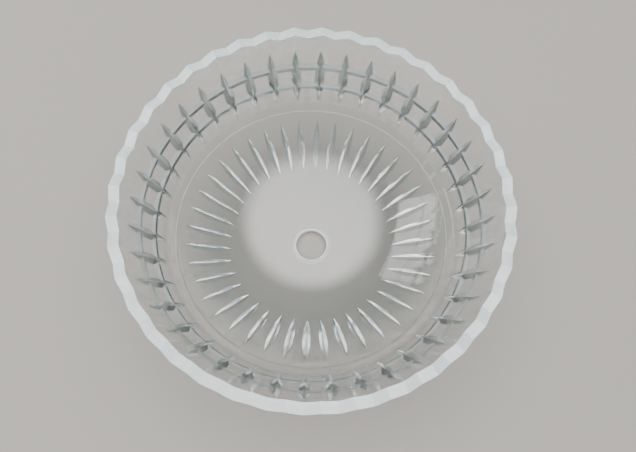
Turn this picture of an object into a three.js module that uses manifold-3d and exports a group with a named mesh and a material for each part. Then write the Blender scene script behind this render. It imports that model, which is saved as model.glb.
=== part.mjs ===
// Cut crystal lamp bowl: a thick flared wall on a dished base, drilled through at the centre.
// Millimetres, +Z up. The origin is the middle of the ground seat that the bowl stands on.
import * as THREE from 'three';
import { mergeVertices } from 'three/addons/utils/BufferGeometryUtils.js';
import Module from 'manifold-3d';

const wasm = await Module();
wasm.setup();

// Overall shape of the glass
const rimRadius = 125;          // outside of the wall at the crest of a tooth
const bowlHeight = 114;         // seat to tooth crest
const wallHeight = 61;          // tooth crest down to the heel edge
const wallRun = 17.6;           // how far the wall draws in between rim and heel
const wallThickness = 6.4;
const wallBulge = 0.035;        // rise of the wall's arc over its chord, as a share of the chord
const baseBulge = 0.105;        // the same for the arc of the base

// Centre hole and the seat round it
const holeRadius = 12.5;
const bevelWidth = 3;           // countersink on the underside
const bevelDepth = 2.4;
const arris = 0.6;              // broken edge at the top of the hole
const seatWidth = 3.5;          // flat ground ring that the bowl stands on

// Zigzag rim
const toothCount = 40;
const toothDepth = 3;           // crest to notch

// Mitre cuts: each one is the mark of a V-edged wheel, a pointed lens as seen from outside
const mitreAngle = THREE.MathUtils.degToRad(107);    // V of the wheel for upright and sunburst cuts
const grooveAngle = THREE.MathUtils.degToRad(125);   // more open V of the ring grooves
const wallCutBite = 1.65;              // how far the wheel sinks below a straight line between the ends
const wallCutSpan = [0.28, 1];         // ends of the upright cuts, as shares of the wall's arc
const grooveDepth = 1.7;
const grooveShares = [0.515, 0.782];   // the two ring grooves, as shares of the wall's arc
const baseCutBite = 0.5;               // the same for a sunburst cut
const baseCutSpan = [0.163, 0.555];    // ends of the sunburst cuts, as shares of the base's arc

// Facets
const sides = 2 * toothCount;          // a flat facet under every crest and every notch
const pitch = (2 * Math.PI) / toothCount;
const sideAngle = (2 * Math.PI) / sides;
const acrossCorners = 1 / Math.cos(sideAngle / 2);
const wallSteps = 4;
const baseSteps = 7;
const wheelFacet = 12;                 // length of one flat along a wheel's edge
const proud = 4;                       // how far a cutter stands clear of the glass
const notchReach = 12;                 // how far the rim's wedge runs on inside the wall
const mergeDistance = 1e-4;            // corners closer than this are one corner

const rim = new THREE.Vector2(rimRadius, bowlHeight);
const heel = new THREE.Vector2(rimRadius - wallRun, bowlHeight - wallHeight);
const bevelEdge = holeRadius + bevelWidth;
const seatEdge = new THREE.Vector2(bevelEdge + seatWidth, 0);

// An arc in the (radius, height) plane from one point to another, bulging out of the bowl.
function makeArc(from, to, bulge) {
  const chord = to.clone().sub(from);
  const rise = bulge * chord.length();
  const radius = chord.lengthSq() / (8 * rise) + rise / 2;
  const outward = new THREE.Vector2(-chord.y, chord.x).normalize();
  const middle = from.clone().add(to).multiplyScalar(0.5);
  const centre = middle.addScaledVector(outward, rise - radius);
  const angleOf = (p) => Math.atan2(p.y - centre.y, p.x - centre.x);
  return { centre, radius, start: angleOf(from), end: angleOf(to) };
}

function pointAt(circle, angle, inset = 0) {
  const reach = circle.radius - inset;
  return new THREE.Vector2(
    circle.centre.x + reach * Math.cos(angle),
    circle.centre.y + reach * Math.sin(angle),
  );
}

const shareAngle = (circle, share) => THREE.MathUtils.lerp(circle.start, circle.end, share);

function arcPoints(circle, start, end, steps, inset = 0) {
  const points = [];
  for (let i = 0; i <= steps; i += 1) {
    points.push(pointAt(circle, THREE.MathUtils.lerp(start, end, i / steps), inset));
  }
  return points;
}

// Where two inset circles cross, taken on the side nearest to a given point.
function crossing(a, b, inset, near) {
  const ra = a.radius - inset;
  const rb = b.radius - inset;
  const between = b.centre.clone().sub(a.centre);
  const gap = between.length();
  const along = (gap * gap + ra * ra - rb * rb) / (2 * gap);
  const across = Math.sqrt(ra * ra - along * along);
  const foot = a.centre.clone().addScaledVector(between, along / gap);
  const side = new THREE.Vector2(-between.y, between.x).normalize();
  const options = [across, -across].map((d) => foot.clone().addScaledVector(side, d));
  return options.sort((p, q) => p.distanceTo(near) - q.distanceTo(near))[0];
}

const wallArc = makeArc(rim, heel, wallBulge);
const baseArc = makeArc(heel, seatEdge, baseBulge);

function glassProfile() {
  const t = wallThickness;
  const angleOn = (circle, p) => Math.atan2(p.y - circle.centre.y, p.x - circle.centre.x);
  const heelIn = crossing(wallArc, baseArc, t, heel);
  const rimIn = Math.asin((bowlHeight - wallArc.centre.y) / (wallArc.radius - t));
  const mouth = holeRadius + arris;
  const mouthAngle = -Math.acos((mouth - baseArc.centre.x) / (baseArc.radius - t));
  const baseIn = arcPoints(baseArc, mouthAngle, angleOn(baseArc, heelIn), baseSteps - 1, t);
  const wallIn = arcPoints(wallArc, angleOn(wallArc, heelIn), rimIn, wallSteps - 1, t);
  return [
    ...arcPoints(wallArc, wallArc.start, wallArc.end, wallSteps),
    ...arcPoints(baseArc, baseArc.start, baseArc.end, baseSteps).slice(1),
    new THREE.Vector2(bevelEdge, 0),
    new THREE.Vector2(holeRadius, bevelDepth),
    new THREE.Vector2(holeRadius, baseIn[0].y - arris),
    ...baseIn,
    ...wallIn.slice(1),
  ];
}

// A closed profile turned round Z, with flat facets centred on the crests and notches.
function turned(profile) {
  const loop = [...profile, profile[0]].map((p) => new THREE.Vector2(p.x * acrossCorners, p.y));
  return new THREE.LatheGeometry(loop, sides, sideAngle / 2).rotateX(Math.PI / 2);
}

function toSolid(geometry) {
  const bare = geometry.clone();
  bare.deleteAttribute('normal');
  bare.deleteAttribute('uv');
  const merged = mergeVertices(bare, mergeDistance);
  const build = (triVerts) => new wasm.Manifold(new wasm.Mesh({
    numProp: 3,
    vertProperties: new Float32Array(merged.attributes.position.array),
    triVerts,
  }));
  const triangles = new Uint32Array(merged.index.array);
  const solid = build(triangles);
  return solid.volume() > 0 ? solid : build(triangles.reverse());
}

function toGeometry(solid) {
  const mesh = solid.getMesh();
  const geometry = new THREE.BufferGeometry();
  geometry.setAttribute('position', new THREE.BufferAttribute(mesh.vertProperties, 3));
  geometry.setIndex(new THREE.BufferAttribute(mesh.triVerts, 1));
  geometry.computeVertexNormals();
  return geometry;
}

// The V-edged wheel that sinks the given bite below the line between two places on an arc.
function mitreWheel(circle, span, bite) {
  const [from, to] = span.map((share) => pointAt(circle, shareAngle(circle, share)));
  const chord = to.clone().sub(from);
  const arcRise = circle.radius - Math.sqrt(circle.radius ** 2 - chord.lengthSq() / 4);
  const radius = chord.lengthSq() / (8 * bite) + bite / 2;
  const outward = new THREE.Vector2(-chord.y, chord.x).normalize();
  const hub = from.clone().add(to).multiplyScalar(0.5).addScaledVector(outward, radius - bite);
  const shoulder = arcRise + bite + proud;
  const halfWidth = shoulder * Math.tan(mitreAngle / 2);
  const section = [
    new THREE.Vector2(0, -halfWidth),
    new THREE.Vector2(radius - shoulder, -halfWidth),
    new THREE.Vector2(radius, 0),
    new THREE.Vector2(radius - shoulder, halfWidth),
    new THREE.Vector2(0, halfWidth),
  ];
  const aim = Math.atan2(-outward.x, -outward.y);
  const wheelSides = Math.round((2 * Math.PI * radius) / wheelFacet);
  return new THREE.LatheGeometry(section, wheelSides)
    .rotateY(aim)
    .translate(hub.x, 0, hub.y);
}

// A V-sectioned ring that turns one groove into the outside of the wall.
function grooveRing(share) {
  const angle = shareAngle(wallArc, share);
  const outward = new THREE.Vector2(Math.cos(angle), Math.sin(angle));
  const along = new THREE.Vector2(-outward.y, outward.x);
  const surface = pointAt(wallArc, angle);
  const halfWidth = (grooveDepth + proud) * Math.tan(grooveAngle / 2);
  const corner = (side) => surface.clone()
    .addScaledVector(outward, proud)
    .addScaledVector(along, side * halfWidth);
  return turned([
    surface.clone().addScaledVector(outward, -grooveDepth),
    corner(-1),
    corner(1),
  ]);
}

// The wedge that grinds one notch. Neighbouring notches meet in a sharp crest.
function notchWedge() {
  const slope = toothDepth / (rimRadius * Math.sin(pitch / 2));
  const top = toothDepth + proud;
  const wedge = new THREE.Shape([
    new THREE.Vector2(0, -toothDepth),
    new THREE.Vector2(top / slope, proud),
    new THREE.Vector2(-top / slope, proud),
  ]);
  const length = notchReach + wallThickness + proud;
  return new THREE.ExtrudeGeometry(wedge, { depth: length, bevelEnabled: false })
    .applyMatrix4(new THREE.Matrix4().makeBasis(
      new THREE.Vector3(0, 1, 0),
      new THREE.Vector3(0, 0, 1),
      new THREE.Vector3(1, 0, 0),
    ))
    .translate(rimRadius + proud - length, 0, bowlHeight);
}

function allRound(geometry, offset) {
  const solids = [];
  for (let i = 0; i < toothCount; i += 1) {
    solids.push(toSolid(geometry.clone().rotateZ(offset + i * pitch)));
  }
  return solids;
}

function glassMaterial() {
  return new THREE.MeshStandardMaterial({
    color: 0xdfe9ea,
    roughness: 0.04,
    metalness: 0,
    transparent: true,
    opacity: 0.4,
  });
}

function makeBowl() {
  const cutters = [
    ...grooveShares.map((share) => toSolid(grooveRing(share))),
    ...allRound(mitreWheel(wallArc, wallCutSpan, wallCutBite), 0),
    ...allRound(mitreWheel(baseArc, baseCutSpan, baseCutBite), 0),
    ...allRound(notchWedge(), pitch / 2),
  ];
  const blank = toSolid(turned(glassProfile()));
  const glass = cutters.reduce((left, cutter) => left.subtract(cutter), blank);
  const bowl = new THREE.Mesh(toGeometry(glass), glassMaterial());
  bowl.name = 'cut_glass_bowl';
  return bowl;
}

const part = new THREE.Group();
part.name = 'cut_glass_lamp_bowl';
part.add(makeBowl());
export default part;
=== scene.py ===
# Cut crystal lamp bowl: the finished glass and its studio, laid out as an add-on and run as a script.
import math
from dataclasses import dataclass

import bmesh
import bpy
from bpy.props import FloatProperty, FloatVectorProperty, IntProperty, PointerProperty, StringProperty
from mathutils import Matrix, Vector


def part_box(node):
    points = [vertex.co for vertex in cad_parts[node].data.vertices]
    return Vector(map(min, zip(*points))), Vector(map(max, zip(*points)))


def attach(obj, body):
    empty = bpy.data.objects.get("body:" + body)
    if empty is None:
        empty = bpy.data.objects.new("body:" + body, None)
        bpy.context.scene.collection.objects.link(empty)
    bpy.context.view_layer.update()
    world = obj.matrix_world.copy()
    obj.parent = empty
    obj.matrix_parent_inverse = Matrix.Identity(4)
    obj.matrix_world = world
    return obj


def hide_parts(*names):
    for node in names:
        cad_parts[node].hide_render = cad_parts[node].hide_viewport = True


bl_info = {
    "name": "Cut crystal lamp bowl",
    "version": (1, 0, 0),
    "blender": (4, 5, 0),
    "location": "3D View > Sidebar > Crystal bowl",
    "description": "Builds a wheel-cut crystal bowl with a zigzag rim, and a plain studio for it",
    "category": "Add Mesh",
}

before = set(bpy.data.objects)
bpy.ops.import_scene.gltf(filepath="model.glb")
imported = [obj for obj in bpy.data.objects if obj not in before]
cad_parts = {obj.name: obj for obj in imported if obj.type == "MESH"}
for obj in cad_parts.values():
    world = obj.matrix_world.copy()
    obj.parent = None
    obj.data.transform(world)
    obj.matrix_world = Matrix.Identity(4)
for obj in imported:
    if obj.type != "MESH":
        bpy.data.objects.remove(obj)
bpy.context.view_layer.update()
LOW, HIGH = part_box("cut_glass_bowl")

MM = 0.001
INSIDE_COLUMNS = 2      # mesh columns from the valley of a mitre cut to its edge
OUTSIDE_COLUMNS = 3     # and from that edge to the middle of the plain glass beside it
RIM_ROWS = 8            # mesh rows from the rim to the tips of the upright cuts
UPRIGHT_ROWS = 28       # along an upright cut
HEEL_ROWS = 3           # from the heel to its fine ring
SHOULDER_ROWS = 4       # from that ring to the sunburst
SUNBURST_ROWS = 26      # along a sunburst cut
MIDDLE_ROWS = 14        # from the sunburst to the seat
INNER_BASE_ROWS = 34
INNER_WALL_ROWS = 22
HEEL_STARTS = (0.012, 0.03)     # shares of the base's arc at the first rows inside the heel
GROOVE_MARGIN = 1.15    # plain rows stay this many half widths away from a groove's valley
ROUNDING = 0.01         # so that a groove's upper edge counts as the groove and its lower edge doesn't
OUTER_FADE = 0.8        # the zigzag dies out at this part of the way down to the upright cuts
INNER_FADE = 0.3        # and over this share of the wall on the inside
SETTLING = 5            # rounds that find where the wall meets a ground facet
MERGE = 2e-6
SHARP = math.radians(12)
CLEARANCE = 0.01 * MM   # keeps the fine mesh just inside the frame's box
AIR_GAP = 0.1 * MM      # air left between the seat and the nap of the paper
FLOOR_HALF = 4.0
MOTTLE = 0.985          # tone of the paper's darker fibres
SOFTBOX_SIZE = (1.4, 0.9)
SOFTBOX_PLACE = Vector((-1.5, 0.5, 0.75))

# The finishes that the glass shows, in the order of its material slots
BLOWN, UPRIGHT, SUNBURST, GROOVE, RIM, DRILLED = range(6)


def mm(name, default, description):
    """A length that is shown in metres and given here in millimetres."""
    return FloatProperty(name=name, description=description, default=default * MM, unit="LENGTH",
                         precision=4, min=0.0)


def share(name, default, description):
    return FloatProperty(name=name, description=description, default=default, min=0.0, max=1.0)


def swatch(name, default, description):
    """A colour kept as an sRGB hex value."""
    return StringProperty(name=name, description=description, default=default)


class BowlShape(bpy.types.PropertyGroup):
    """The sizes of the uncut glass."""
    rim_radius: FloatProperty(name="Rim radius", description="Outside of the wall at a crest",
                              default=HIGH.x - CLEARANCE, unit="LENGTH")
    height: FloatProperty(name="Height", description="Seat to crest",
                          default=HIGH.z - LOW.z - CLEARANCE, unit="LENGTH")
    wall_height: mm("Wall height", 61, "Crest down to the heel edge")
    wall_run: mm("Wall run", 17.6, "How far the wall draws in between rim and heel")
    thickness: mm("Thickness", 6.4, "Thickness of the glass")
    wall_bulge: share("Wall bulge", 0.035, "Rise of the wall's arc as a share of its chord")
    base_bulge: share("Base bulge", 0.105, "Rise of the base's arc as a share of its chord")
    hole_radius: mm("Hole radius", 12.5, "Radius of the drilled hole")
    bevel_width: mm("Bevel width", 3, "Width of the countersink on the underside")
    bevel_depth: mm("Bevel depth", 2.4, "Depth of the countersink")
    hole_arris: mm("Hole arris", 0.6, "Broken edge at the top of the hole")
    seat_width: mm("Seat width", 3.5, "Flat ground ring that the bowl stands on")


class BowlCuts(bpy.types.PropertyGroup):
    """The grinder's work: rim teeth, upright cuts, ring grooves and sunburst."""
    teeth: IntProperty(name="Teeth", description="Teeth of the rim, and cuts in each row",
                       default=40, min=8)
    tooth_depth: mm("Tooth depth", 3, "Crest to notch")
    rim_arris: mm("Rim arris", 0.35, "Broken edges along the rim")
    mitre_angle: FloatProperty(name="Mitre angle", description="V of the wheel for the lens-shaped cuts",
                               default=math.radians(107), subtype="ANGLE")
    groove_angle: FloatProperty(name="Groove angle", description="More open V of the ring grooves",
                                default=math.radians(125), subtype="ANGLE")
    wall_bite: mm("Upright cut bite", 1.65, "How far the wheel sinks below a line between the tips")
    wall_from: share("Upright cut top", 0.28, "Share of the wall's arc at the upper tip")
    wall_to: share("Upright cut foot", 1, "Share of the wall's arc at the lower tip")
    groove_depth: mm("Groove depth", 1.7, "Depth of the two ring grooves")
    upper_groove: share("Upper groove", 0.515, "Share of the wall's arc")
    lower_groove: share("Lower groove", 0.782, "Share of the wall's arc")
    base_bite: mm("Sunburst bite", 0.5, "How far the wheel sinks below a line between the ends")
    base_from: share("Sunburst outer end", 0.163, "Share of the base's arc")
    base_to: share("Sunburst inner end", 0.555, "Share of the base's arc")
    heel_ring: share("Heel ring", 0.091, "Share of the base's arc at the fine ring inside the heel")
    ring_width: mm("Ring width", 1.1, "Width of the fine ring")
    ring_depth: mm("Ring depth", 0.16, "Depth of the fine ring")


class BowlGlass(bpy.types.PropertyGroup):
    """What the crystal and its finishes look like."""
    ior: FloatProperty(name="Index", description="Refractive index of lead crystal",
                       default=1.545, min=1.0, max=2.0)
    body: swatch("Body", "#FCFEFE", "Colour of the clear glass")
    depth_tint: swatch("Depth tint", "#CDF6F3", "Colour that thick glass takes, seen through an edge")
    tint_density: FloatProperty(name="Tint density", description="How fast thick glass takes its tint",
                                default=1.0, min=0.0)


class BowlStage(bpy.types.PropertyGroup):
    """The plain studio: floor, soft light and camera."""
    floor: swatch("Floor", "#86837F", "Grey paper that the bowl stands on")
    surround: swatch("Surround", "#A3A8AB", "Plain walls of the studio, much dimmer than the light")
    overhead: swatch("Overhead", "#FFFDFA", "Colour of the soft light above")
    overhead_strength: FloatProperty(name="Overhead strength", description="Brightness of the soft light",
                                     default=6.2, min=0.0)
    light_core: FloatProperty(name="Light core", description="Angle from straight up that is fully bright",
                              default=math.radians(32), subtype="ANGLE")
    light_edge: FloatProperty(name="Light edge", description="Angle from straight up where the light ends",
                              default=math.radians(47), subtype="ANGLE")
    side_power: FloatProperty(name="Side power", description="Power of the soft light at the left",
                              default=14.0, subtype="POWER")
    lens: FloatProperty(name="Lens", description="Focal length for a 36 mm wide sensor",
                        default=27.93, subtype="DISTANCE_CAMERA")
    viewpoint: FloatVectorProperty(name="Viewpoint", size=3,
                                   description="Camera from the middle of the rim, in rim radii",
                                   default=(-0.0004, -0.8842, 2.2458))
    tilt: FloatProperty(name="Tilt", description="Camera's lean from looking straight down",
                        default=math.radians(18.09), subtype="ANGLE")
    roll: FloatProperty(name="Roll", description="Camera's turn about its own line of sight",
                        default=math.radians(5.0), subtype="ANGLE")
    turn: FloatProperty(name="Turn", description="Camera's turn about the bowl's axis",
                        default=math.radians(-2.19), subtype="ANGLE")


# ---------------------------------------------------------------- outline of the glass

class Arc:
    """One arc of the outline, in the (radius, height) plane, with the glass on its inner side."""

    def __init__(self, start, end, bulge):
        chord = end - start
        rise = bulge * chord.length
        out = Vector((-chord.y, chord.x)).normalized()
        self.radius = chord.length_squared / (8 * rise) + rise / 2
        self.centre = (start + end) / 2 + out * (rise - self.radius)
        self.first = self.angle_of(start)
        self.last = self.angle_of(end)

    def angle_of(self, point):
        return math.atan2(point.y - self.centre.y, point.x - self.centre.x)

    def outward(self, angle):
        return Vector((math.cos(angle), math.sin(angle)))

    def at(self, angle, inset=0.0):
        return self.centre + self.outward(angle) * (self.radius - inset)

    def share(self, part):
        return self.first + (self.last - self.first) * part

    def angle_at_radius(self, radius, inset):
        return -math.acos((radius - self.centre.x) / (self.radius - inset))

    def angle_at_height(self, height, inset):
        return math.asin((height - self.centre.y) / (self.radius - inset))


def crossing(a, b, inset, near):
    """Where two inset arcs meet, on the side nearest to a point."""
    ra, rb = a.radius - inset, b.radius - inset
    between = b.centre - a.centre
    along = (between.length_squared + ra * ra - rb * rb) / (2 * between.length)
    across = math.sqrt(ra * ra - along * along)
    way = between.normalized()
    side = Vector((-way.y, way.x))
    both = [a.centre + way * along + side * d for d in (across, -across)]
    return min(both, key=lambda p: (p - near).length)


class MitreWheel:
    """The V-edged wheel that leaves a lens-shaped cut between two places on an arc."""

    def __init__(self, arc, part_from, part_to, bite):
        start, end = arc.at(arc.share(part_from)), arc.at(arc.share(part_to))
        chord = end - start
        out = Vector((-chord.y, chord.x)).normalized()
        self.radius = chord.length_squared / (8 * bite) + bite / 2
        self.hub = (start + end) / 2 + out * (self.radius - bite)

    def depth_at(self, place, outward):
        """How deep the wheel's edge lies under a place on the uncut glass."""
        gap = place - self.hub
        along = gap.dot(outward)
        inside = along * along - gap.length_squared + self.radius ** 2
        return max(0.0, along + math.sqrt(inside)) if inside > 0 else 0.0


@dataclass
class Row:
    """One ring of mesh points round the bowl."""
    arc: Arc = None         # the arc it lies on, or None for a row given by its point
    angle: float = 0.0
    inset: float = 0.0
    point: Vector = None
    mitre: float = 0.0      # depth of the mitre cut's valley on this row
    groove: float = 0.0     # depth of a ring groove on this row
    follow: float = 0.0     # how far the row follows the zigzag: 1 at the rim, 0 well below it
    across: float = -1.0    # place across the top of the rim, from 0 outside to 1 inside
    drop: float = 0.0       # distance below the rim's edge, for the arris
    finish: int = BLOWN
    cut_finish: int = UPRIGHT   # finish of the mitre cut that crosses the row


def eased(first, last, count):
    """Shares from first to last that crowd together at both ends."""
    steps = [0.5 - 0.5 * math.cos(math.pi * i / count) for i in range(count + 1)]
    return [first + (last - first) * s for s in steps]


def evenly(first, last, count):
    return [first + (last - first) * i / count for i in range(count + 1)]


def groove_depths(cuts, wall):
    """Depth by share of the wall's arc, at each groove's edges, flanks and valley, and half its width."""
    half = cuts.groove_depth * math.tan(cuts.groove_angle / 2)
    length = wall.radius * abs(wall.last - wall.first)
    found = {}
    for middle in (cuts.upper_groove, cuts.lower_groove):
        for k in (-1.0, -0.5, 0.0, 0.5, 1.0):
            found[middle + k * half / length] = cuts.groove_depth * (1 - abs(k))
    return found, half / length


def outer_wall_rows(cuts, wall):
    wheel = MitreWheel(wall, cuts.wall_from, cuts.wall_to, cuts.wall_bite)
    grooves, half = groove_depths(cuts, wall)
    plain = (evenly(0, cuts.wall_from, RIM_ROWS)[:-1]
             + eased(cuts.wall_from, cuts.wall_to, UPRIGHT_ROWS))
    if cuts.wall_to < 1:
        plain.append(1.0)
    near = (cuts.upper_groove, cuts.lower_groove)
    parts = {p: 0.0 for p in plain if all(abs(p - m) > half * GROOVE_MARGIN for m in near)}
    parts.update(grooves)
    rows = []
    for part in sorted(parts):
        angle = wall.share(part)
        place = wall.at(angle)
        cut = 0.0
        if cuts.wall_from < part < cuts.wall_to:
            cut = wheel.depth_at(place, wall.outward(angle))
        follow = max(0.0, 1 - part / (OUTER_FADE * cuts.wall_from))
        in_groove = any(-1 - ROUNDING <= (part - m) / half < 1 - ROUNDING for m in near)
        rows.append(Row(arc=wall, angle=angle, mitre=cut, groove=parts[part], follow=follow,
                        finish=GROOVE if in_groove else BLOWN))
    rows.insert(1, Row(arc=wall, angle=rows[0].angle, follow=1.0, drop=cuts.rim_arris))
    rows[0].finish = RIM
    return rows


def outer_base_rows(cuts, base):
    wheel = MitreWheel(base, cuts.base_from, cuts.base_to, cuts.base_bite)
    half = cuts.ring_width / 2 / (base.radius * abs(base.last - base.first))
    ring = {cuts.heel_ring + k * half: cuts.ring_depth * (1 - abs(k)) for k in (-1, 0, 1)}
    first, second = HEEL_STARTS
    parts = ([first] + evenly(second, cuts.heel_ring - 2 * half, HEEL_ROWS) + sorted(ring)
             + evenly(cuts.heel_ring + 2 * half, cuts.base_from, SHOULDER_ROWS)[:-1]
             + eased(cuts.base_from, cuts.base_to, SUNBURST_ROWS)
             + evenly(cuts.base_to, 1, MIDDLE_ROWS)[1:])
    rows = []
    for part in parts:
        angle = base.share(part)
        cut = 0.0
        if cuts.base_from < part < cuts.base_to:
            cut = wheel.depth_at(base.at(angle), base.outward(angle))
        rows.append(Row(arc=base, angle=angle, mitre=cut, groove=ring.get(part, 0.0),
                        cut_finish=SUNBURST))
    return rows


def hole_rows(shape, mouth_height):
    edge = shape.hole_radius + shape.bevel_width
    top = mouth_height - shape.hole_arris
    points = [(edge, 0.0)]
    points += [(edge - shape.bevel_width * k, shape.bevel_depth * k) for k in (0.5, 1.0)]
    points += [(shape.hole_radius, shape.bevel_depth + (top - shape.bevel_depth) * k) for k in (0.5, 1.0)]
    return [Row(point=Vector(p), finish=DRILLED) for p in points]


def inner_rows(shape, cuts, wall, base, heel):
    t = shape.thickness
    meet = crossing(wall, base, t, heel)
    mouth = base.angle_at_radius(shape.hole_radius + shape.hole_arris, t)
    heel_base, heel_wall = base.angle_of(meet), wall.angle_of(meet)
    rim = wall.angle_at_height(shape.height, t)
    rows = [Row(arc=base, angle=a, inset=t) for a in evenly(mouth, heel_base, INNER_BASE_ROWS)]
    for part in evenly(0, 1, INNER_WALL_ROWS)[1:]:
        rows.append(Row(arc=wall, angle=heel_wall + (rim - heel_wall) * part, inset=t,
                        follow=max(0.0, 1 - (1 - part) / INNER_FADE)))
    rows.insert(-1, Row(arc=wall, angle=rim, inset=t, follow=1.0, drop=cuts.rim_arris, finish=RIM))
    rows[-1].finish = RIM
    return rows


def rim_rows(shape, cuts):
    edge = cuts.rim_arris / shape.thickness
    return [Row(across=k, finish=RIM) for k in (1 - edge, 0.5, edge)]


class Settler:
    """Moves each point of the turned outline to its place on the cut glass."""

    def __init__(self, shape, cuts, wall):
        self.shape, self.cuts, self.wall = shape, cuts, wall
        self.half = math.pi / cuts.teeth
        self.slope = cuts.tooth_depth / (shape.rim_radius * math.sin(self.half))
        self.flare = math.tan(cuts.mitre_angle / 2)

    def rim_height(self, radius, azimuth):
        """Height of the flat ground facet between a crest and the next notch."""
        rise = self.slope * radius * math.sin(self.half - azimuth)
        return self.shape.height - self.cuts.tooth_depth + rise

    def wall_top(self, inset, azimuth, drop=0.0):
        """Angle on the wall's arc, or on its inner face, where it meets the ground facet."""
        height = self.shape.height
        for _ in range(SETTLING):
            angle = self.wall.angle_at_height(height - drop, inset)
            height = self.rim_height(self.wall.at(angle, inset).x, azimuth)
        return self.wall.angle_at_height(height - drop, inset)

    def outline_at(self, row, azimuth):
        """The row's point in the (radius, height) plane at an azimuth, grooves counted."""
        if row.point is not None:
            return row.point
        if row.across >= 0:
            outer = self.wall.at(self.wall_top(0.0, azimuth))
            inner = self.wall.at(self.wall_top(self.shape.thickness, azimuth), self.shape.thickness)
            radius = outer.x + (inner.x - outer.x) * row.across
            return Vector((radius, self.rim_height(radius, azimuth)))
        angle = row.angle
        if row.follow > 0:
            level = self.wall.angle_at_height(self.shape.height, row.inset)
            top = self.wall_top(row.inset, azimuth, row.drop)
            angle += (top - level) * row.follow
        return row.arc.at(angle, row.inset) - row.arc.outward(angle) * row.groove

    def place(self, row, column):
        """The finished place of one point of the half tooth."""
        reach = INSIDE_COLUMNS + OUTSIDE_COLUMNS
        crease = Vector((0.0, 0.0, 0.0))
        start = 0.0
        if row.mitre > 0:
            uncut = row.arc.at(row.angle)
            valley = uncut - row.arc.outward(row.angle) * row.mitre
            spread = row.mitre * self.flare / uncut.x
            deep = Vector((valley.x, 0.0, valley.y))
            edge = Vector((uncut.x * math.cos(spread), uncut.x * math.sin(spread), uncut.y))
            kept = max(0.0, 1 - row.groove / row.mitre)
            crease = deep.lerp(edge, kept)
            if column <= INSIDE_COLUMNS:
                return deep.lerp(crease, column / INSIDE_COLUMNS)
            start = math.atan2(crease.y, crease.x)
        along = max(0, column - INSIDE_COLUMNS) / (reach - INSIDE_COLUMNS)
        azimuth = start + (self.half - start) * along
        flat = self.outline_at(row, azimuth)
        return Vector((flat.x * math.cos(azimuth), flat.x * math.sin(azimuth), flat.y))


def outline_rows(shape, cuts):
    rim = Vector((shape.rim_radius, shape.height))
    heel = Vector((shape.rim_radius - shape.wall_run, shape.height - shape.wall_height))
    seat = Vector((shape.hole_radius + shape.bevel_width + shape.seat_width, 0.0))
    wall, base = Arc(rim, heel, shape.wall_bulge), Arc(heel, seat, shape.base_bulge)
    inside = inner_rows(shape, cuts, wall, base, heel)
    mouth_height = inside[0].arc.at(inside[0].angle, inside[0].inset).y
    rows = outer_wall_rows(cuts, wall) + outer_base_rows(cuts, base)
    rows += hole_rows(shape, mouth_height) + inside + rim_rows(shape, cuts)
    return rows, wall


def turn_half_tooth(bm, rows, settler):
    """Turns the outline through half a tooth and settles every point."""
    row_of = bm.verts.layers.int.new("row")
    ring = []
    for i, row in enumerate(rows):
        flat = settler.outline_at(row, 0.0)
        point = bm.verts.new((flat.x, 0.0, flat.y))
        point[row_of] = i
        ring.append(point)
    edges = [bm.edges.new((a, b)) for a, b in zip(ring, ring[1:] + ring[:1])]
    columns = INSIDE_COLUMNS + OUTSIDE_COLUMNS
    bmesh.ops.spin(bm, geom=ring + edges, cent=(0, 0, 0), axis=(0, 0, 1), dvec=(0, 0, 0),
                   angle=settler.half, space=Matrix(), steps=columns, use_merge=False,
                   use_normal_flip=False, use_duplicate=False)
    finish_faces(bm, rows, row_of, settler, columns)
    for point in bm.verts:
        column = round(math.atan2(point.co.y, point.co.x) / settler.half * columns)
        point.co = settler.place(rows[point[row_of]], column)


def finish_faces(bm, rows, row_of, settler, columns):
    """Gives each band its finish, and a map in millimetres: round the bowl, and along the outline."""
    lengths = [0.0]
    flats = [settler.outline_at(row, 0.0) for row in rows]
    for a, b in zip(flats, flats[1:]):
        lengths.append(lengths[-1] + (b - a).length)
    layer = bm.loops.layers.uv.new("Millimetres")
    for face in bm.faces:
        ids = sorted({v[row_of] for v in face.verts})
        first = ids[-1] if ids[0] == 0 and ids[-1] == len(rows) - 1 else ids[0]
        middle = sum(math.atan2(v.co.y, v.co.x) for v in face.verts) / len(face.verts)
        column = middle / settler.half * columns
        cut = any(rows[i].mitre > 0 for i in ids) and column < INSIDE_COLUMNS
        face.material_index = rows[first].cut_finish if cut else rows[first].finish
        for loop in face.loops:
            point = loop.vert
            round_way = math.atan2(point.co.y, point.co.x) * point.co.xy.length
            loop[layer].uv = (round_way / MM, lengths[point[row_of]] / MM)


def repeat_tooth(bm, teeth):
    """Mirrors the half tooth and sets the whole tooth out round the bowl."""
    bmesh.ops.remove_doubles(bm, verts=bm.verts[:], dist=MERGE)
    bmesh.ops.dissolve_degenerate(bm, dist=MERGE / 2, edges=bm.edges[:])
    geometry = bm.verts[:] + bm.edges[:] + bm.faces[:]
    bmesh.ops.mirror(bm, geom=geometry, matrix=Matrix(), merge_dist=MERGE, axis="Y",
                     mirror_u=False, mirror_v=False)
    geometry = bm.verts[:] + bm.edges[:] + bm.faces[:]
    bmesh.ops.spin(bm, geom=geometry, cent=(0, 0, 0), axis=(0, 0, 1), dvec=(0, 0, 0),
                   angle=2 * math.pi * (teeth - 1) / teeth, space=Matrix(), steps=teeth - 1,
                   use_merge=False, use_normal_flip=False, use_duplicate=True)
    bmesh.ops.remove_doubles(bm, verts=bm.verts[:], dist=MERGE)
    bmesh.ops.recalc_face_normals(bm, faces=bm.faces[:])


def mark_edges(bm):
    """Smooth over the curved glass, crisp along every ground edge."""
    for face in bm.faces:
        face.smooth = True
    for edge in bm.edges:
        edge.smooth = edge.calc_face_angle(0.0) < SHARP


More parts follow.
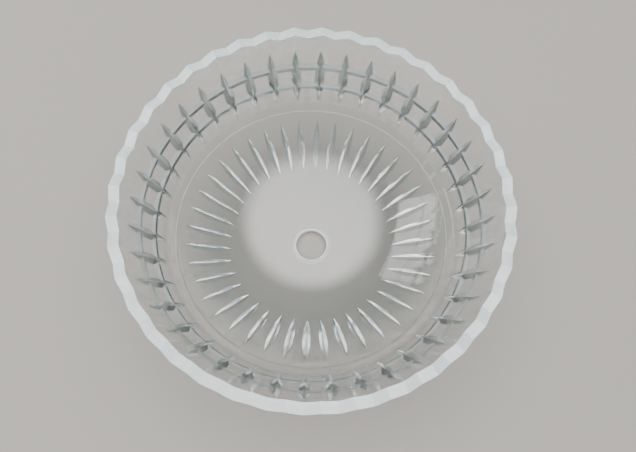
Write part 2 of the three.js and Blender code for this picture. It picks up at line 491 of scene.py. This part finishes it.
def new_piece(name, bm, materials):
    mesh = bpy.data.meshes.new(name)
    bm.to_mesh(mesh)
    bm.free()
    piece = bpy.data.objects.new(name, mesh)
    bpy.context.scene.collection.objects.link(piece)
    for material in materials:
        mesh.materials.append(material)
    return piece


# ---------------------------------------------------------------- finishes

def linear(code):
    """An sRGB hex value as linear red, green, blue and full alpha."""
    parts = [int(code.lstrip("#")[i:i + 2], 16) / 255 for i in (0, 2, 4)]
    return tuple(p / 12.92 if p <= 0.04045 else ((p + 0.055) / 1.055) ** 2.4 for p in parts) + (1.0,)


def add(tree, kind, settings=None, links=None):
    """Adds a node. Settings name its properties or input sockets, and links feed its inputs."""
    node = tree.nodes.new(kind)
    for key, value in (settings or {}).items():
        if isinstance(key, str) and hasattr(node, key):
            setattr(node, key, value)
        else:
            node.inputs[key].default_value = value
    for key, source in (links or {}).items():
        tree.links.new(source, node.inputs[key])
    return node


def crystal(name, glass, relief, roughness, clarity=1.0, skin=None):
    """The clear glass that every finish shares. Each finish adds its own relief, sheen and haze."""
    material = bpy.data.materials.new(name)
    material.use_nodes = True
    tree = material.node_tree
    tree.nodes.clear()
    normal = relief(tree)
    rough = roughness(tree)
    shader = add(tree, "ShaderNodeBsdfPrincipled",
                 {"Base Color": linear(skin or glass.body), "Metallic": 0.0, "IOR": glass.ior,
                  "Transmission Weight": clarity},
                 {"Roughness": rough, "Normal": normal})
    depth = add(tree, "ShaderNodeVolumeAbsorption",
                {"Color": linear(glass.depth_tint), "Density": glass.tint_density})
    add(tree, "ShaderNodeOutputMaterial", links={"Surface": shader.outputs[0],
                                                 "Volume": depth.outputs[0]})
    return material


def noise_on(tree, scale, detail, stretch=(1.0, 1.0, 1.0), coordinates="Object"):
    """A noise over the glass. Scale is bumps per metre, or per millimetre on the map."""
    place = add(tree, "ShaderNodeTexCoord")
    fit = add(tree, "ShaderNodeMapping", {"Scale": stretch}, {"Vector": place.outputs[coordinates]})
    return add(tree, "ShaderNodeTexNoise", {"Scale": scale, "Detail": detail, "Roughness": 0.55},
               {"Vector": fit.outputs[0]})


def ranged(tree, source, low, high):
    """The middle of a noise spread over a range of values."""
    return add(tree, "ShaderNodeMapRange", {"From Min": 0.3, "From Max": 0.7, "To Min": low, "To Max": high},
               {"Value": source.outputs[0]}).outputs[0]


def blown_crystal(glass):
    # Lead crystal, blown into a mould and fire polished: a mirror skin with a slow, faint swell in it
    # about 30 mm from crest to crest, and a trace of haze where it has been handled.
    def relief(tree):
        swell = noise_on(tree, 1 / 0.030, 1.0)
        return add(tree, "ShaderNodeBump", {"Strength": 1.0, "Distance": 0.00010},
                   {"Height": swell.outputs[0]}).outputs[0]

    def haze(tree):
        return ranged(tree, noise_on(tree, 1 / 0.018, 4.0), 0.0, 0.035)

    return crystal("Lead_crystal_fire_polished", glass, relief, haze)


def wheel_cut(name, glass, stretch, clarity):
    # Cut with a V-edged stone wheel and part polished: bright flats that keep a little of the stone's
    # white bloom, and its soft furrows, 0.6 mm apart and drawn out along the way the wheel ran.
    def relief(tree):
        furrows = noise_on(tree, 1 / 0.6, 2.0, stretch, "UV")
        return add(tree, "ShaderNodeBump", {"Strength": 1.0, "Distance": 0.000012},
                   {"Height": furrows.outputs[0]}).outputs[0]

    def sheen(tree):
        return ranged(tree, noise_on(tree, 1 / 0.9, 3.0, stretch, "UV"), 0.01, 0.07)

    return crystal(name, glass, relief, sheen, clarity, "#F1FBFC")


def ground_rim(glass):
    # Ground flat on an iron wheel and only half polished: a pale satin face that scatters the light
    # from above whichever way it slopes, with a 0.5 mm grain and clearer patches 4 mm across.
    def relief(tree):
        grain = noise_on(tree, 1 / 0.0005, 3.0)
        return add(tree, "ShaderNodeBump", {"Strength": 1.0, "Distance": 0.00002},
                   {"Height": grain.outputs[0]}).outputs[0]

    def satin(tree):
        return ranged(tree, noise_on(tree, 1 / 0.004, 5.0), 0.1, 0.3)

    return crystal("Crystal_ground_half_polished", glass, relief, satin, 0.52, "#E9F7F8")


def drilled_glass(glass):
    # Drilled and countersunk with a diamond core: a frosted face with a 0.4 mm grain.
    def relief(tree):
        grain = noise_on(tree, 1 / 0.0004, 2.0)
        return add(tree, "ShaderNodeBump", {"Strength": 1.0, "Distance": 0.00003},
                   {"Height": grain.outputs[0]}).outputs[0]

    def frost(tree):
        return ranged(tree, noise_on(tree, 1 / 0.003, 3.0), 0.28, 0.48)

    return crystal("Crystal_diamond_drilled", glass, relief, frost, 0.35, "#F4FAFA")


def grey_paper(stage):
    # Matt background paper: an even warm grey, which the bright studio makes pale, with a barely seen
    # 2 mm fibre mottle.
    material = bpy.data.materials.new("Background_paper")
    material.use_nodes = True
    tree = material.node_tree
    tree.nodes.clear()
    mottle = noise_on(tree, 1 / 0.002, 3.0)
    grey = linear(stage.floor)
    tone = add(tree, "ShaderNodeMix", {"data_type": "RGBA"}, {0: mottle.outputs[0]})
    tone.inputs[6].default_value = tuple(MOTTLE * c for c in grey[:3]) + (1.0,)
    tone.inputs[7].default_value = grey
    shader = add(tree, "ShaderNodeBsdfPrincipled", {"Roughness": 0.85, "Specular IOR Level": 0.2},
                 {"Base Color": tone.outputs[2]})
    add(tree, "ShaderNodeOutputMaterial", links={"Surface": shader.outputs[0]})
    return material


# ---------------------------------------------------------------- operators

class CRYSTAL_OT_bowl(bpy.types.Operator):
    """Turn, cut and grind the crystal bowl"""
    bl_idname = "crystal.bowl"
    bl_label = "Crystal bowl"

    def execute(self, context):
        scene = context.scene
        shape, cuts, glass = scene.bowl_shape, scene.bowl_cuts, scene.bowl_glass
        rows, wall = outline_rows(shape, cuts)
        settler = Settler(shape, cuts, wall)
        bm = bmesh.new()
        turn_half_tooth(bm, rows, settler)
        repeat_tooth(bm, cuts.teeth)
        if any(not edge.is_manifold for edge in bm.edges):
            raise RuntimeError("the bowl's mesh isn't closed: check the order of the rows")
        mark_edges(bm)
        along, round_way = (1.0, 0.06, 1.0), (0.06, 1.0, 1.0)
        finishes = [blown_crystal(glass),
                    wheel_cut("Crystal_upright_cut", glass, along, 0.86),
                    wheel_cut("Crystal_sunburst_cut", glass, along, 0.9),
                    wheel_cut("Crystal_ring_cut", glass, round_way, 0.72),
                    ground_rim(glass), drilled_glass(glass)]
        piece = new_piece("crystal_bowl_glass", bm, finishes)
        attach(piece, "root")
        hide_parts("cut_glass_bowl")
        return {"FINISHED"}


class CRYSTAL_OT_stage(bpy.types.Operator):
    """Lay the floor, hang the soft light and set up the camera"""
    bl_idname = "crystal.stage"
    bl_label = "Studio"

    def execute(self, context):
        stage, shape = context.scene.bowl_stage, context.scene.bowl_shape
        lay_floor(stage)
        stand_side_light(stage)
        light_studio(context.scene, stage)
        set_camera(context.scene, stage, shape)
        return {"FINISHED"}


def lay_floor(stage):
    bm = bmesh.new()
    under_seat = Matrix.Translation((0, 0, LOW.z - AIR_GAP))
    bmesh.ops.create_grid(bm, x_segments=8, y_segments=8, size=FLOOR_HALF,
                          matrix=under_seat)
    floor = new_piece("studio_floor", bm, [grey_paper(stage)])


def stand_side_light(stage):
    """A softbox low on the left, so that the two flats of each cut differ in tone."""
    lamp = bpy.data.lights.new("side_light", "AREA")
    lamp.shape = "RECTANGLE"
    lamp.size, lamp.size_y = SOFTBOX_SIZE
    lamp.energy = stage.side_power
    holder = bpy.data.objects.new("side_light", lamp)
    holder.location = SOFTBOX_PLACE
    holder.rotation_euler = SOFTBOX_PLACE.to_track_quat("Z", "Y").to_euler()
    bpy.context.scene.collection.objects.link(holder)


def light_studio(scene, stage):
    """A broad soft light overhead that fades evenly into plain, dimmer walls."""
    world = bpy.data.worlds.new("studio")
    world.use_nodes = True
    tree = world.node_tree
    tree.nodes.clear()
    way = add(tree, "ShaderNodeTexCoord")
    height = add(tree, "ShaderNodeSeparateXYZ", links={0: way.outputs["Generated"]})
    bright = add(tree, "ShaderNodeMapRange",
                 {"interpolation_type": "SMOOTHSTEP", "From Min": math.cos(stage.light_edge),
                  "From Max": math.cos(stage.light_core)}, {"Value": height.outputs[2]})
    tone = add(tree, "ShaderNodeMix", {"data_type": "RGBA"}, {0: bright.outputs[0]})
    tone.inputs[6].default_value = linear(stage.surround)
    tone.inputs[7].default_value = tuple(
        stage.overhead_strength * c for c in linear(stage.overhead)[:3]) + (1.0,)
    glow = add(tree, "ShaderNodeBackground", links={"Color": tone.outputs[2]})
    add(tree, "ShaderNodeOutputWorld", links={"Surface": glow.outputs[0]})
    scene.world = world


def set_camera(scene, stage, shape):
    """Stands the camera over the near side of the rim, looking down into the bowl."""
    data = bpy.data.cameras.new("camera")
    data.lens = stage.lens
    camera = bpy.data.objects.new("camera", data)
    about_bowl = Matrix.Rotation(stage.turn, 4, "Z")
    lean = Matrix.Rotation(stage.tilt, 4, "X") @ Matrix.Rotation(stage.roll, 4, "Z")
    place = Vector(stage.viewpoint) * shape.rim_radius + Vector((0, 0, shape.height))
    camera.matrix_world = Matrix.Translation(place) @ about_bowl @ lean
    scene.collection.objects.link(camera)
    scene.camera = camera


class CRYSTAL_PT_bowl(bpy.types.Panel):
    """Builds the bowl and its studio, and shows the sizes that set them."""
    bl_idname = "CRYSTAL_PT_bowl"
    bl_label = "Crystal bowl"
    bl_space_type = "VIEW_3D"
    bl_region_type = "UI"
    bl_category = "Crystal bowl"

    def draw(self, context):
        layout = self.layout
        for operator in (CRYSTAL_OT_bowl, CRYSTAL_OT_stage):
            layout.operator(operator.bl_idname)
        for group in ("bowl_shape", "bowl_cuts", "bowl_glass", "bowl_stage"):
            values = getattr(context.scene, group)
            box = layout.box()
            for name in values.bl_rna.properties.keys():
                if name not in ("rna_type", "name"):
                    box.prop(values, name)


GROUPS = {"bowl_shape": BowlShape, "bowl_cuts": BowlCuts, "bowl_glass": BowlGlass,
          "bowl_stage": BowlStage}
CLASSES = (*GROUPS.values(), CRYSTAL_OT_bowl, CRYSTAL_OT_stage, CRYSTAL_PT_bowl)


def register():
    for cls in CLASSES:
        bpy.utils.register_class(cls)
    for name, group in GROUPS.items():
        setattr(bpy.types.Scene, name, PointerProperty(type=group))


def unregister():
    for name in GROUPS:
        delattr(bpy.types.Scene, name)
    for cls in reversed(CLASSES):
        bpy.utils.unregister_class(cls)


def main():
    register()
    bpy.ops.crystal.stage()
    bpy.ops.crystal.bowl()


if __name__ == "__main__":
    main()
